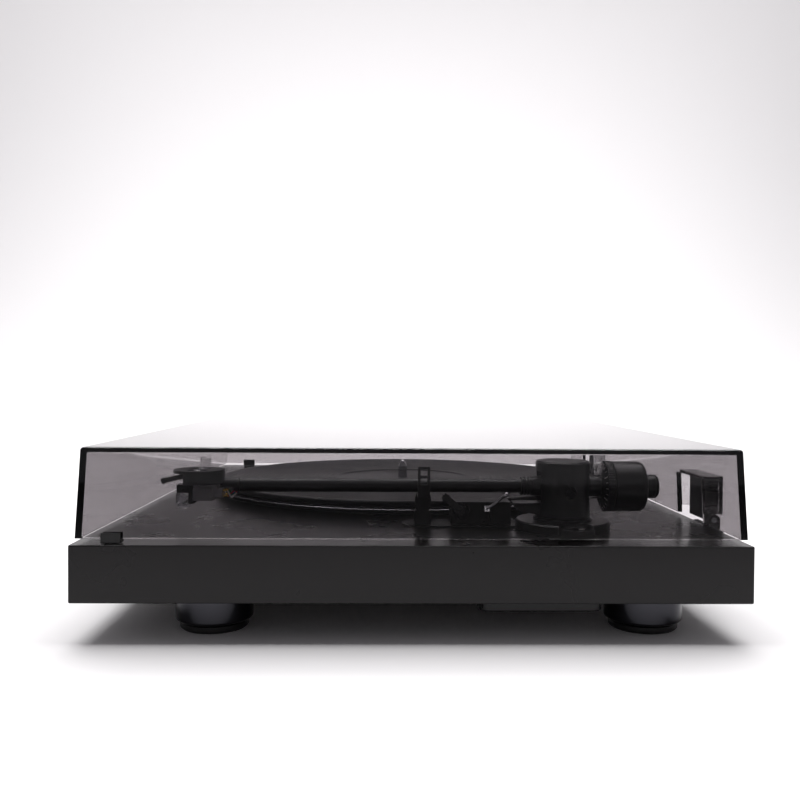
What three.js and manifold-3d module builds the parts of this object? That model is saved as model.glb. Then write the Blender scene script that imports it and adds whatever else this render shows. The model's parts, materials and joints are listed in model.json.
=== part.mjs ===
// Belt-drive record player with a hinged dust cover.
// Millimetres, +Z up, +X to the right as seen by someone playing a record, front towards -Y.
// The group's origin is under the middle of the object's bounding box, on the floor.
import * as THREE from "three";
import { mergeVertices } from "three/addons/utils/BufferGeometryUtils.js";
import Module from "manifold-3d";

const wasm = await Module();
wasm.setup();

// ---------------------------------------------------------------- driving dimensions

const seat = 0.3; // gap kept between two pieces that touch
const run = 0.4; // gap kept round a piece that turns or slides

const plinth = { width: 430, depth: 367.4, height: 31.2, corner: 1.2, edge: 0.8 };
const foot = { radius: 22, body: 18.3, pad: 4, insetX: 38, front: 70.3, rear: 49, screw: 4, grip: 12 };
const plinthBottom = foot.body + foot.pad;
const plinthTop = plinthBottom + plinth.height;

const cover = {
  gap: 2.6, height: 49, wall: 3, sideInset: 4.3, endInset: 2.3, draft: 2.4, edge: 1,
};
const coverBottom = plinthTop + cover.gap;
const coverTop = coverBottom + cover.height;
const coverHalfX = plinth.width / 2 - cover.sideInset;
const coverHalfY = plinth.depth / 2 - cover.endInset;

const bumper = { length: 10.8, width: 6, height: 5.6, overhang: 1.6, frontLeft: 22.4, frontRight: 16.4 };
const hinge = {
  offset: 131.35, notchWidth: 43.7, notchHeight: 26.8, pocketWidth: 38, pocketDepth: 10.3, pocketWall: 1.8,
  leafWidth: 37.4, leafThickness: 5.6, leafUp: 0.1, barrel: 3.6, pin: 1.5, axisUp: 1.6,
  earWidth: 4, earSpan: 13.6, earGap: 0.4, bracketWidth: 30, bracketHeight: 20, bracketThickness: 3,
  earDrop: 8,
};

const platter = {
  x: -26, y: -1, radius: 150, lift: 2.6, rim: 4.2, web: 3, edge: 0.8,
};
const mat = { radius: 147.5, thickness: 3.6, labelRadius: 52, labelDepth: 1 };
const subPlatter = { radius: 90, height: 9, web: 3, ring: 5, hub: 14 };
const spindle = { radius: 3.55, rise: 13, taper: 4.5, tip: 1.4, below: 20 };
const bearing = { wall: 4.5, flange: 17, flangeHeight: 1.4, floor: 2 };
const well = { clearance: 6, depth: 11 };
const motor = { distance: 113, bearing: 225, radius: 15, height: 14, pulley: 6, shaft: 1.2, flange: 1.2 };
const belt = { width: 4, thickness: 0.8 };
const isolator = { wall: 2.4, lip: 2.4, height: 2 };

const arm = {
  x: 160, y: 90.8, tubeRadius: 4.05, height: 25.7, pivotBack: 1.6, pivotDrop: 2.4, tubeFront: 192.4,
};
const armBase = { radius: 27.9, height: 5.6, flange: 17.4, flangeHeight: 1.8, stem: 7.5, bore: 3.6 };
const housing = {
  radius: 16.2, wall: 2.2, top: 41, slotWidth: 14.4, slotRise: 9.4, snout: 12, snoutReach: 30,
};
const gimbal = { width: 19, length: 13, height: 12, pin: 1.8 };
const collar = { front: 25.3, frontRadius: 5.6, rearRadius: 6.3, length: 14 };
const stub = { radius: 6.1, length: 44.5 };
const dial = { front: 22.2, length: 6.2, radius: 15.1, cone: 1.9, coneRadius: 10 };
const weight = {
  length: 19.6, radius: 14.9, rim: 3.5, chamfer: 1, boss: 7.2, bossLength: 8.3, bossChamfer: 1.6, travel: 3,
};
const shell = {
  centre: 216.7, radius: 15, top: 9.2, thickness: 1.8, bodyFront: 223.3, bodyHeight: 8, slotWidth: 2.6,
  slotLength: 12, slotSpacing: 12.7, recess: 1.5, neckDrop: 1.2, ring: 3,
};
const screw = { head: 2.1, height: 1.2, chamfer: 0.4 };
const lift = { tip: 240, drop: 4.9, radius: 1.6, bulb: 2.1, sideways: 4 };
const cartridge = {
  front: 218.9, rear: 207.4, width: 15, top: -1.4, bottom: -8.7, mountRear: 205,
  terminals: 5.2, terminalWidth: 11.2,
};
const stylus = { front: 229.2, width: 9, top: 0.4, bottom: -4.4, holder: 3, holderBottom: -10.8 };
const guard = { front: 229.7, width: 9.4, wall: 1, bottom: -14 };
const lead = {
  radius: 0.6, spacing: 2.3, top: -2.7, row: 3.6, straight: 1.2, sag: 1.7, rear: 194.4,
  plugWidth: 6.8, plugHeight: 1.8, plugLength: 2, plugPitch: 1.5,
};

const plate = { x: 146, width: 24, front: -5.3, rear: 72, thickness: 0.8 };
const rest = {
  y: 7.4, width: 10, baseX: 151, baseDepth: 10, baseHeight: 8.4, prong: 2.6, prongWidth: 7.2, top: 37.6,
  gap: 0.5, post: 6, neck: 2.8, bulge: 6.6, saddle: 2.4, frame: 1.6,
};
const cue = {
  x: 147.5, depth: 15, front: 24.4, rear: 60.6, height: 14, travel: 3, bar: 2, barRadius: 33.2, barSweep: 50,
  leverY: 30.5, leverUp: 8.4, leverLength: 14.4, leverTilt: 41, leverWidth: 4, leverThickness: 2.4,
  cam: 3.9, camLength: 10, camThrow: 0.35,
};
const antiSkate = { x: 186.5, y: 93.6, radius: 10, height: 4.6, recess: 1, post: 2.6 };

const socketPanel = { x: 45, width: 90, height: 19, thickness: 2.4, recess: 12, up: 6 };
const socket = { radius: 4.2, bore: 1.8, length: 9, spacing: 16, offset: -32 };
const tray = { x: 150, width: 100, front: 37, rear: 106, drop: 8.2, wall: 1.6, lip: 4, corner: 6 };
const pocket = { depth: 19, length: 31, ductWidth: 20 };
const board = { thickness: 1.6, margin: 3, up: 3 };
const rocker = {
  left: 30, front: 15.7, length: 22, width: 9, thickness: 4, proud: 1.6, tilt: 6, gap: 0.8, pocket: 8,
};

// ---------------------------------------------------------------- materials

function finish(color, roughness, metalness = 0) {
  return new THREE.MeshStandardMaterial({ color, roughness, metalness });
}

const smokedAcrylic = new THREE.MeshStandardMaterial({
  color: 0x8b8489, roughness: 0.08, transparent: true, opacity: 0.4,
});
const blackVinyl = finish(0x262425, 0.5);
const blackPlastic = finish(0x1d1c1e, 0.55);
const blackAnodised = finish(0x202124, 0.35, 0.9);
const satinAluminium = finish(0x55565a, 0.4, 0.9);
const silver = finish(0x8f8f92, 0.35, 0.9);
const chrome = finish(0xd8d8da, 0.12, 1);
const steel = finish(0xa2a3a6, 0.3, 1);
const brass = finish(0xc2a25a, 0.3, 1);
const rubber = finish(0x161616, 0.85);
const beltRubber = finish(0x101010, 0.7);
const greenBoard = finish(0x1f5a36, 0.5);
const greyPlastic = finish(0x77767a, 0.5);
const clearPlastic = new THREE.MeshStandardMaterial({
  color: 0xc9cacf, roughness: 0.15, transparent: true, opacity: 0.45,
});
const leadInsulation = finish(0xa31f36, 0.5);

// ---------------------------------------------------------------- shape helpers

const object = new THREE.Group();
object.position.y = -(hingeReach() - plinth.depth / 2) / 2;

function hingeReach() {
  return coverHalfY + hinge.pocketDepth;
}

function solid(geometry) {
  const bare = geometry.clone();
  bare.deleteAttribute("normal");
  bare.deleteAttribute("uv");
  const merged = mergeVertices(bare, 1e-4);
  return new wasm.Manifold(new wasm.Mesh({
    numProp: 3,
    vertProperties: new Float32Array(merged.attributes.position.array),
    triVerts: new Uint32Array(merged.index.array),
  }));
}

function geometryOf(body) {
  const mesh = body.getMesh();
  const geometry = new THREE.BufferGeometry();
  geometry.setAttribute("position", new THREE.BufferAttribute(new Float32Array(mesh.vertProperties), 3));
  geometry.setIndex(new THREE.BufferAttribute(new Uint32Array(mesh.triVerts), 1));
  geometry.computeVertexNormals();
  return geometry;
}

function add(name, body, material, group = object) {
  const mesh = new THREE.Mesh(geometryOf(body), material);
  mesh.name = name;
  group.add(mesh);
}

// A box from its lowest corner to its highest corner.
function box(x0, y0, z0, x1, y1, z1) {
  const geometry = new THREE.BoxGeometry(x1 - x0, y1 - y0, z1 - z0);
  return solid(geometry.translate((x0 + x1) / 2, (y0 + y1) / 2, (z0 + z1) / 2));
}

// How many flat sides a round piece of this radius has.
function sides(radius) {
  return 8 + 4 * Math.round(Math.sqrt(radius));
}

function widest(profile) {
  return Math.max(...profile.map(([r]) => r));
}

// An upright turned piece: profile is [radius, z] pairs, starting and ending on the axis.
function turned(profile, x, y) {
  const points = profile.map(([r, z]) => new THREE.Vector2(r, z));
  const geometry = new THREE.LatheGeometry(points, sides(widest(profile)));
  return solid(geometry.rotateX(Math.PI / 2).translate(x, y, 0));
}

function rod(x, y, z0, z1, radius) {
  return turned([[0, z0], [radius, z0], [radius, z1], [0, z1]], x, y);
}

// A piece turned about a line along Y through x, z: profile is [radius, y] pairs.
function turnedAlongY(profile, x, z) {
  const points = profile.map(([r, y]) => new THREE.Vector2(r, y));
  return solid(new THREE.LatheGeometry(points, sides(widest(profile))).translate(x, 0, z));
}

function rodAlongY(x, z, y0, y1, radius) {
  return turnedAlongY([[0, y0], [radius, y0], [radius, y1], [0, y1]], x, z);
}

function rodAlongX(x0, x1, y, z, radius) {
  const geometry = new THREE.CylinderGeometry(radius, radius, x1 - x0, sides(radius));
  return solid(geometry.rotateZ(-Math.PI / 2).translate((x0 + x1) / 2, y, z));
}

function rectangle(x0, y0, x1, y1, corner) {
  const shape = new THREE.Shape();
  shape.moveTo(x0 + corner, y0);
  shape.lineTo(x1 - corner, y0);
  shape.absarc(x1 - corner, y0 + corner, corner, -Math.PI / 2, 0);
  shape.lineTo(x1, y1 - corner);
  shape.absarc(x1 - corner, y1 - corner, corner, 0, Math.PI / 2);
  shape.lineTo(x0 + corner, y1);
  shape.absarc(x0 + corner, y1 - corner, corner, Math.PI / 2, Math.PI);
  shape.lineTo(x0, y0 + corner);
  shape.absarc(x0 + corner, y0 + corner, corner, Math.PI, 1.5 * Math.PI);
  return shape;
}

// An upright prism of a shape drawn in X and Y, with bevelled edges where bevel is over 0.
function prism(shape, z0, z1, bevel = 0, curveSegments = 4) {
  const geometry = new THREE.ExtrudeGeometry(shape, {
    depth: z1 - z0 - 2 * bevel, bevelEnabled: bevel > 0, bevelThickness: bevel, bevelSize: bevel,
    bevelOffset: -bevel, bevelSegments: 2, curveSegments,
  });
  return solid(geometry.translate(0, 0, z0 + bevel));
}

// A slab of a shape drawn in Y (first) and Z (second), from x0 to x1.
function slab(shape, x0, x1, curveSegments = 6) {
  const geometry = new THREE.ExtrudeGeometry(shape, { depth: x1 - x0, bevelEnabled: false, curveSegments });
  geometry.applyMatrix4(new THREE.Matrix4().set(0, 0, 1, x0, 1, 0, 0, 0, 0, 1, 0, 0, 0, 0, 0, 1));
  return solid(geometry);
}

function polygon(points) {
  return new THREE.Shape(points.map(([a, b]) => new THREE.Vector2(a, b)));
}

// A round tube along a curve.
function along(curve, radius, steps, curveSegments) {
  const section = new THREE.Shape();
  section.absarc(0, 0, radius, 0, 2 * Math.PI);
  return solid(new THREE.ExtrudeGeometry(section, {
    steps, extrudePath: curve, curveSegments: curveSegments * 2, bevelEnabled: false,
  }));
}

// ---------------------------------------------------------------- places that several pieces share

const wellFloor = plinthTop - well.depth;
const motorAngle = THREE.MathUtils.degToRad(motor.bearing);
const motorX = platter.x + motor.distance * Math.cos(motorAngle);
const motorY = platter.y + motor.distance * Math.sin(motorAngle);
const rimBottom = plinthTop + platter.lift;
const rimTop = rimBottom + platter.rim;
const matBottom = rimTop + seat;
const matTop = matBottom + mat.thickness;
const subTop = rimTop - platter.web - seat;
const subBottom = subTop - subPlatter.height;
const beltBottom = subBottom + (subPlatter.height - belt.width) / 2;
const tubeZ = plinthTop + arm.height;
const pivotZ = tubeZ - arm.pivotDrop;
const pivotY = arm.y + arm.pivotBack;
const plateTop = plinthTop + seat + plate.thickness;
const baseTop = plinthTop + seat + armBase.height;
const hingeAxisY = plinth.depth / 2 + run + hinge.barrel;
const hingeAxisZ = coverBottom + hinge.axisUp;
const pocketFloor = hingeAxisZ + hinge.barrel + run;
const panelX0 = socketPanel.x - socketPanel.width / 2;
const panelX1 = socketPanel.x + socketPanel.width / 2;
const panelZ0 = plinthBottom + socketPanel.up;
const panelZ1 = panelZ0 + socketPanel.height;
const panelY = plinth.depth / 2 - socketPanel.recess;
const pocketX0 = tray.x - tray.width / 2 + tray.lip;
const pocketX1 = tray.x + tray.width / 2 - tray.lip;
const pocketY0 = tray.front + tray.lip;

const rockerX = -plinth.width / 2 + rocker.left;
const rockerY = -plinth.depth / 2 + rocker.front;

function armY(distance) {
  return arm.y - distance;
}

// ---------------------------------------------------------------- plinth and what it stands on

function plinthBody() {
  const x = plinth.width / 2;
  const y = plinth.depth / 2;
  let body = prism(rectangle(-x, -y, x, y, plinth.corner), plinthBottom, plinthTop, plinth.edge);
  const cuts = [
    rod(motorX, motorY, wellFloor, plinthTop + 1, motor.radius + isolator.wall + isolator.lip + seat),
    rod(motorX, motorY, plinthBottom - 1, wellFloor + 1, motor.radius + isolator.wall + seat),
    rod(platter.x, platter.y, plinthBottom - 1, wellFloor + 1, spindle.radius + run + bearing.wall + seat),
    rod(arm.x, arm.y, plinthBottom - 1, plinthTop + 1, armBase.stem + seat),
    beltPrism(well.clearance - run, wellFloor, plinthTop + 1, 18),
    box(pocketX0, pocketY0, plinthBottom - 1, pocketX1, pocketY0 + pocket.length, plinthBottom + pocket.depth),
    box(pocketX0, pocketY0, plinthBottom + board.up + 4, pocketX0 + pocket.ductWidth, panelY - 2,
      plinthBottom + pocket.depth),
    box(panelX0, panelY, panelZ0, panelX1, y + 1, panelZ1),
    box(panelX0 + 6, panelY - socketPanel.recess, panelZ0 + 3, panelX1 - 6, panelY + 1, panelZ1 - 3),
    box(panelX1 - 8, panelY - socketPanel.recess, plinthBottom + board.up + 4, pocketX0 + pocket.ductWidth,
      panelY - 2, plinthBottom + pocket.depth),
    box(rockerX - rocker.length / 2 - rocker.gap, rockerY - rocker.width / 2 - run, plinthBottom - 1,
      rockerX + rocker.length / 2 + rocker.gap, rockerY + rocker.width / 2 + run, plinthBottom + rocker.pocket),
  ];
  for (const [fx, fy] of footPlaces()) {
    cuts.push(rod(fx, fy, plinthBottom - 1, plinthBottom + foot.grip + seat, foot.screw + seat));
  }
  for (const cut of cuts) body = body.subtract(cut);
  return body;
}

// A prism of the belt's outline, grown by extra, from the middle of the platter to the pulley.
function beltPrism(extra, z0, z1, curveSegments) {
  const big = subPlatter.radius + run + extra;
  const small = motor.pulley + run + extra;
  const lean = Math.acos((big - small) / motor.distance);
  const path = new THREE.Shape();
  path.absarc(0, 0, big, lean, 2 * Math.PI - lean);
  path.absarc(motor.distance, 0, small, -lean, lean);
  path.closePath();
  const geometry = new THREE.ExtrudeGeometry(path, { depth: z1 - z0, bevelEnabled: false, curveSegments });
  return solid(geometry).rotate([0, 0, motor.bearing]).translate([platter.x, platter.y, z0]);
}

function footPlaces() {
  const x = plinth.width / 2 - foot.insetX;
  const front = -plinth.depth / 2 + foot.front;
  const rear = plinth.depth / 2 - foot.rear;
  return [[-x, front], [x, front], [-x, rear], [x, rear]];
}

function addFeet() {
  const names = ["front_left", "front_right", "rear_left", "rear_right"];
  footPlaces().forEach(([x, y], i) => {
    const top = plinthBottom - seat;
    const body = turned([
      [0, foot.pad + seat], [foot.radius - 2, foot.pad + seat], [foot.radius, foot.pad + 2],
      [foot.radius, top - 1.5], [foot.radius - 1.5, top], [foot.screw, top],
      [foot.screw, plinthBottom + foot.grip], [0, plinthBottom + foot.grip],
    ], x, y);
    add("foot_" + names[i], body, silver);
    add("foot_pad_" + names[i], turned([
      [0, 0], [foot.radius - 4, 0], [foot.radius - 2.5, 1], [foot.radius - 2.5, foot.pad], [0, foot.pad],
    ], x, y), rubber);
  });
}

function addElectronics() {
  const x0 = tray.x - tray.width / 2;
  const x1 = tray.x + tray.width / 2;
  const z0 = plinthBottom - tray.drop;
  const top = plinthBottom - seat;
  const w = tray.wall;
  const shell = prism(rectangle(x0, tray.front, x1, tray.rear, tray.corner), z0, top, 1)
    .subtract(box(x0 + w, tray.front + w, z0 + w, x1 - w, tray.rear - w, top + 1));
  add("electronics_cover", shell, blackPlastic);
  const m = board.margin;
  const boardZ = plinthBottom + board.up;
  add("control_board", box(pocketX0 + m, pocketY0 + m, boardZ, pocketX1 - m,
    pocketY0 + pocket.length - m, boardZ + board.thickness), greenBoard);
  addSocketPanel();
}

function addSocketPanel() {
  const t = socketPanel.thickness;
  const y1 = panelY + seat + t;
  const z = (panelZ0 + panelZ1) / 2;
  const xs = [0, 1].map((i) => socketPanel.x + socket.offset + i * socket.spacing);
  const groundX = xs[1] + socket.spacing;
  const inletX = panelX1 - 16;
  let panel = box(panelX0 + seat, panelY + seat, panelZ0 + seat, panelX1 - seat, y1, panelZ1 - seat);
  for (const x of xs) panel = panel.subtract(rodAlongY(x, z, panelY - 1, y1 + 1, socket.radius - 1 + seat));
  panel = panel.subtract(rodAlongY(groundX, z, panelY - 1, y1 + 1, 1.8 + seat));
  panel = panel.subtract(box(inletX - 5.5 - seat, panelY - 1, z - 5 - seat,
    inletX + 5.5 + seat, y1 + 1, z + 5 + seat));
  add("rear_panel", panel, blackPlastic);
  const names = ["left", "right"];
  xs.forEach((x, i) => {
    const s = socket;
    const y2 = y1 + seat + s.length;
    const body = turnedAlongY([
      [0, panelY - 5], [s.radius - 1, panelY - 5], [s.radius - 1, y1 + seat], [s.radius + 1, y1 + seat],
      [s.radius + 1, y1 + seat + 1.2], [s.radius, y1 + seat + 1.2], [s.radius, y2], [s.bore, y2],
      [s.bore, y2 - 7], [0, y2 - 7],
    ], x, z);
    add("output_socket_" + names[i], body, brass);
  });
  add("ground_terminal", turnedAlongY([
    [0, panelY - 5], [1.8, panelY - 5], [1.8, y1 + seat], [4, y1 + seat], [4, y1 + 5], [3, y1 + 6],
    [0, y1 + 6],
  ], groundX, z), brass);
  const inlet = box(inletX - 5.5, panelY - 6, z - 5, inletX + 5.5, y1 + 1, z + 5)
    .subtract(rodAlongY(inletX, z, panelY - 3, y1 + 2, 3.2))
    .add(rodAlongY(inletX, z, panelY - 4, y1 - 1, 0.9));
  add("power_inlet", inlet, blackPlastic);
}

// The on and off key under the front left corner, leaning towards off.
function addPowerRocker() {
  const r = rocker;
  const shape = new THREE.Shape();
  shape.moveTo(-r.length / 2, r.thickness / 2);
  shape.lineTo(-r.length / 2, -r.thickness / 2 - r.proud);
  shape.quadraticCurveTo(0, -r.thickness / 2 + 1.2, r.length / 2, -r.thickness / 2 - r.proud);
  shape.lineTo(r.length / 2, r.thickness / 2);
  const geometry = new THREE.ExtrudeGeometry(shape, { depth: r.width, bevelEnabled: false, curveSegments: 5 });
  const key = solid(geometry.translate(0, 0, -r.width / 2).rotateX(Math.PI / 2)).rotate([0, r.tilt, 0]);
  add("power_rocker", key.translate([rockerX, rockerY, plinthBottom + r.thickness / 2]), blackPlastic);
}

// ---------------------------------------------------------------- platter and drive

function addPlatter() {
  const p = platter;
  const outer = p.radius;
  add("platter", turned([
    [spindle.radius + seat, rimTop - p.web], [subPlatter.radius + 12, rimTop - p.web],
    [outer - 6, rimTop - p.web], [outer - 5, rimBottom], [outer - p.edge, rimBottom],
    [outer, rimBottom + p.edge], [outer, rimTop - p.edge], [outer - p.edge, rimTop],
    [spindle.radius + seat, rimTop], [spindle.radius + seat, rimTop - p.web],
  ], p.x, p.y), satinAluminium);
  add("platter_mat", turned([
    [spindle.radius + seat, matBottom], [mat.radius, matBottom], [mat.radius, matTop - 0.6],
    [mat.radius - 0.6, matTop], [mat.labelRadius, matTop], [mat.labelRadius - 1, matTop - mat.labelDepth],
    [spindle.radius + seat, matTop - mat.labelDepth], [spindle.radius + seat, matBottom],
  ], p.x, p.y), rubber);
  const s = subPlatter;
  add("sub_platter", turned([
    [spindle.radius + seat, subBottom], [s.hub, subBottom], [s.hub, subTop - s.web],
    [s.radius - s.ring, subTop - s.web],
    [s.radius - s.ring, subBottom], [s.radius, subBottom], [s.radius, subTop],
    [spindle.radius + seat, subTop], [spindle.radius + seat, subBottom],
  ], p.x, p.y), greyPlastic);
  const low = wellFloor - spindle.below;
  const high = matTop + spindle.rise;
  add("spindle", turned([
    [0, low], [spindle.radius, low], [spindle.radius, high - spindle.taper], [spindle.tip, high - 0.6],
    [spindle.tip - 0.6, high], [0, high],
  ], p.x, p.y), chrome);
}

function addDrive() {
  const r = spindle.radius + run;
  const floor = wellFloor - spindle.below - seat;
  add("bearing_housing", turned([
    [0, floor - bearing.floor], [r + bearing.wall, floor - bearing.floor], [r + bearing.wall, wellFloor + seat],
    [bearing.flange, wellFloor + seat], [bearing.flange, wellFloor + seat + bearing.flangeHeight],
    [r, wellFloor + seat + bearing.flangeHeight],
    [r, floor], [0, floor],
  ], platter.x, platter.y), brass);
  const m = motor.radius;
  const ringTop = wellFloor + seat + isolator.height;
  add("motor_isolator", turned([
    [m + seat, wellFloor - 9], [m + isolator.wall, wellFloor - 9], [m + isolator.wall, wellFloor + seat],
    [m + isolator.wall + isolator.lip, wellFloor + seat], [m + isolator.wall + isolator.lip, ringTop],
    [m + seat, ringTop], [m + seat, wellFloor - 9],
  ], motorX, motorY), rubber);
  const top = wellFloor + 0.4;
  const hole = motor.shaft + run;
  add("motor_body", turned([
    [0, top - motor.height], [m, top - motor.height], [m, top], [hole, top], [hole, top - 6], [0, top - 6],
  ], motorX, motorY), steel);
  add("motor_pulley", turned([
    [0, top - 5], [motor.shaft, top - 5], [motor.shaft, beltBottom - 1.4],
    [motor.pulley + motor.flange, beltBottom - 1.4],
    [motor.pulley + motor.flange, beltBottom - 0.6], [motor.pulley, beltBottom - 0.5],
    [motor.pulley, beltBottom + belt.width + 0.5], [motor.pulley + motor.flange, beltBottom + belt.width + 0.6],
    [motor.pulley + motor.flange, beltBottom + belt.width + 1.4], [0, beltBottom + belt.width + 1.4],
  ], motorX, motorY), brass);
  add("drive_belt", driveBelt(), beltRubber);
}

// A flat belt round the sub-platter and the pulley, with a running gap to both.
function driveBelt() {
  const top = beltBottom + belt.width;
  return beltPrism(belt.thickness, beltBottom, top, 40).subtract(beltPrism(0, beltBottom - 1, top + 1, 40));
}

// ---------------------------------------------------------------- tonearm

function addArmBase() {
  const shape = new THREE.Shape();
  const half = plate.width / 2;
  shape.absarc(plate.x, plate.front + half, half, Math.PI, 2 * Math.PI);
  shape.lineTo(plate.x + half, plate.rear);
  shape.lineTo(plate.x - half, plate.rear);
  const keepOut = rod(arm.x, arm.y, plinthTop - 1, plinthTop + 5, armBase.radius + seat);
  add("arm_mount_plate", prism(shape, plinthTop + seat, plateTop, 0, 12).subtract(keepOut), blackPlastic);
  const b = armBase;
  const flangeTop = baseTop + b.flangeHeight;
  let base = turned([
    [0, plinthBottom - 2], [b.stem, plinthBottom - 2], [b.stem, plinthTop + seat], [b.radius, plinthTop + seat],
    [b.radius, baseTop - 0.8], [b.radius - 0.8, baseTop], [b.flange, baseTop], [b.flange, flangeTop],
    [b.bore + run, flangeTop], [b.bore + run, plinthBottom + 4], [0, plinthBottom + 4],
  ], arm.x, arm.y);
  base = base.subtract(rod(antiSkate.x, antiSkate.y, plinthTop, baseTop + 1, antiSkate.radius + run));
  add("arm_base", base, blackAnodised);
  add("arm_base_nut", solid(new THREE.CylinderGeometry(12, 12, 3, 6).rotateX(Math.PI / 2))
    .translate([arm.x, arm.y, plinthBottom - 1.8])
    .subtract(rod(arm.x, arm.y, plinthBottom - 5, plinthBottom + 2, b.stem + seat)), steel);
  const a = antiSkate;
  const dialTop = plinthTop + seat + a.height;
  add("antiskate_dial", turned([
    [0, plinthTop + seat], [a.radius - 0.6, plinthTop + seat], [a.radius, plinthTop + seat + 0.6],
    [a.radius, dialTop - 0.5], [a.radius - 0.5, dialTop], [a.radius - 2, dialTop],
    [a.radius - 2.6, dialTop - a.recess], [0, dialTop - a.recess],
  ], a.x, a.y), blackPlastic);
}

// The turning housing: a cup over the pivot, open in front and behind for the tube.
function addArmHousing() {
  const h = housing;
  const z0 = baseTop + armBase.flangeHeight + seat;
  const z1 = plinthTop + h.top;
  const stem = armBase.bore;
  let cup = turned([
    [0, plinthBottom + 6], [stem, plinthBottom + 6], [stem, z0], [h.radius, z0], [h.radius, z1 - 1],
    [h.radius - 1, z1], [0, z1],
  ], arm.x, arm.y);
  const w = gimbal.width / 2 + run;
  const low = tubeZ - h.slotRise;
  cup = cup.subtract(box(arm.x - h.slotWidth / 2, arm.y - 30, low,
    arm.x + h.slotWidth / 2, arm.y + 30, tubeZ + h.slotRise));
  cup = cup.subtract(box(arm.x - w, pivotY - gimbal.length / 2 - 2, low, arm.x + w, pivotY + gimbal.length / 2 + 2,
    tubeZ + h.slotRise));
  const snoutTop = low - 0.2;
  const snout = slab(polygon([
    [arm.y - h.snoutReach, snoutTop], [arm.y - h.snoutReach + 2.5, snoutTop - 4.6],
    [arm.y - h.radius + 3, z0 + 0.8], [arm.y - h.radius + 3, snoutTop],
  ]), arm.x - h.snout / 2, arm.x + h.snout / 2);
  cup = cup.add(snout);
  for (const side of [-1, 1]) {
    const x = arm.x + side * (h.radius - 4);
    cup = cup.subtract(rodAlongX(x - 6, x + 6, pivotY, pivotZ, gimbal.pin + 0.9 + seat));
  }
  add("arm_housing", cup, blackAnodised);
  for (const [side, name] of [[-1, "left"], [1, "right"]]) {
    const inner = gimbal.width / 2 + 0.8;
    const outer = h.radius + 0.4;
    const x0 = arm.x + (side < 0 ? -outer : inner);
    const screw = rodAlongX(x0, x0 + outer - inner, pivotY, pivotZ, gimbal.pin + 0.9);
    const end = arm.x + side * outer;
    const slot = box(end - 0.7, pivotY - 4, pivotZ - 0.4, end + 0.7, pivotY + 4, pivotZ + 0.4);
    add("arm_pivot_screw_" + name, screw.subtract(slot), steel);
  }
}

function addArmTube() {
  const front = armY(arm.tubeFront);
  const g = gimbal;
  const t = arm.tubeRadius;
  const gz = [pivotZ - g.height / 2, pivotZ + g.height / 2];
  let block = box(arm.x - g.width / 2, pivotY - g.length / 2, gz[0],
    arm.x + g.width / 2, pivotY + g.length / 2, gz[1]);
  block = block.subtract(rodAlongY(arm.x, tubeZ, pivotY - 20, pivotY + 20, stub.radius + seat));
  add("gimbal_block", block, blackAnodised);
  const c = collar;
  const rear = armY(c.front) + c.length;
  add("arm_collar", turnedAlongY([
    [t + seat, armY(c.front)], [c.frontRadius, armY(c.front)], [c.rearRadius, rear], [t + seat, rear],
    [t + seat, armY(c.front)],
  ], arm.x, tubeZ), blackPlastic);
  const step = rear + seat;
  add("arm_tube", turnedAlongY([
    [0, front], [t, front], [t, step], [stub.radius, step], [stub.radius, armY(-stub.length)],
    [0, armY(-stub.length)],
  ], arm.x, tubeZ), blackAnodised);
}

// A disc with a thicker rear part, and a half-round neck that the leads run under.
function addHeadshell() {
  const s = shell;
  const top = tubeZ + s.top;
  const bodyBottom = top - s.bodyHeight;
  const y = armY(s.centre);
  const front = armY(s.bodyFront);
  const neckEnd = armY(arm.tubeFront) - seat;
  const neckStart = y + s.radius - 2;
  const neck = rodAlongY(arm.x, tubeZ, neckStart, neckEnd, arm.tubeRadius).subtract(box(
    arm.x - s.radius, neckStart - 1, tubeZ - s.radius, arm.x + s.radius, neckEnd - s.ring, tubeZ - s.neckDrop));
  let body = rod(arm.x, y, bodyBottom, top, s.radius).subtract(
    box(arm.x - s.radius, y - s.radius - 1, bodyBottom - 1, arm.x + s.radius, front, top - s.thickness));
  body = body.add(neck);
  for (const side of [-1, 1]) {
    const x = arm.x + side * s.slotSpacing / 2;
    const w = s.slotWidth / 2;
    const wide = screw.head + seat;
    const half = s.slotLength / 2;
    body = body.subtract(box(x - w, y - half, bodyBottom - 1, x + w, y + half, top + 1));
    body = body.subtract(box(x - wide, y - half, top - s.recess, x + wide, y + half, top + 1));
  }
  add("headshell", body, blackPlastic);
  addFingerLift(top - s.thickness);
  addHeadshellScrews(y, top, bodyBottom);
}

function addFingerLift(shellBottom) {
  const x = arm.x + lift.sideways;
  const rootZ = shellBottom - seat - lift.radius;
  const tipY = armY(lift.tip - lift.bulb);
  const tipZ = shellBottom - lift.drop;
  const path = new THREE.CatmullRomCurve3([
    new THREE.Vector3(x, armY(shell.bodyFront) - seat, rootZ),
    new THREE.Vector3(x, armY(shell.centre + shell.radius), (2 * rootZ + tipZ) / 3),
    new THREE.Vector3(x, tipY, tipZ),
  ]);
  const bulb = new THREE.SphereGeometry(lift.bulb, 12, 8).translate(x, tipY, tipZ);
  add("finger_lift", along(path, lift.radius, 5, 5).add(solid(bulb)), blackPlastic);
}

function addHeadshellScrews(y, top, bodyBottom) {
  const r = shell.slotWidth / 2 - seat;
  const under = top - shell.recess + seat;
  const crown = under + screw.height;
  for (const [side, name] of [[-1, "left"], [1, "right"]]) {
    const profile = [
      [0, bodyBottom + 1], [r, bodyBottom + 1], [r, under], [screw.head, under],
      [screw.head, crown - screw.chamfer], [screw.head - screw.chamfer, crown], [0, crown],
    ];
    add("headshell_screw_" + name, turned(profile, arm.x + side * shell.slotSpacing / 2, y), steel);
  }
}

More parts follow.
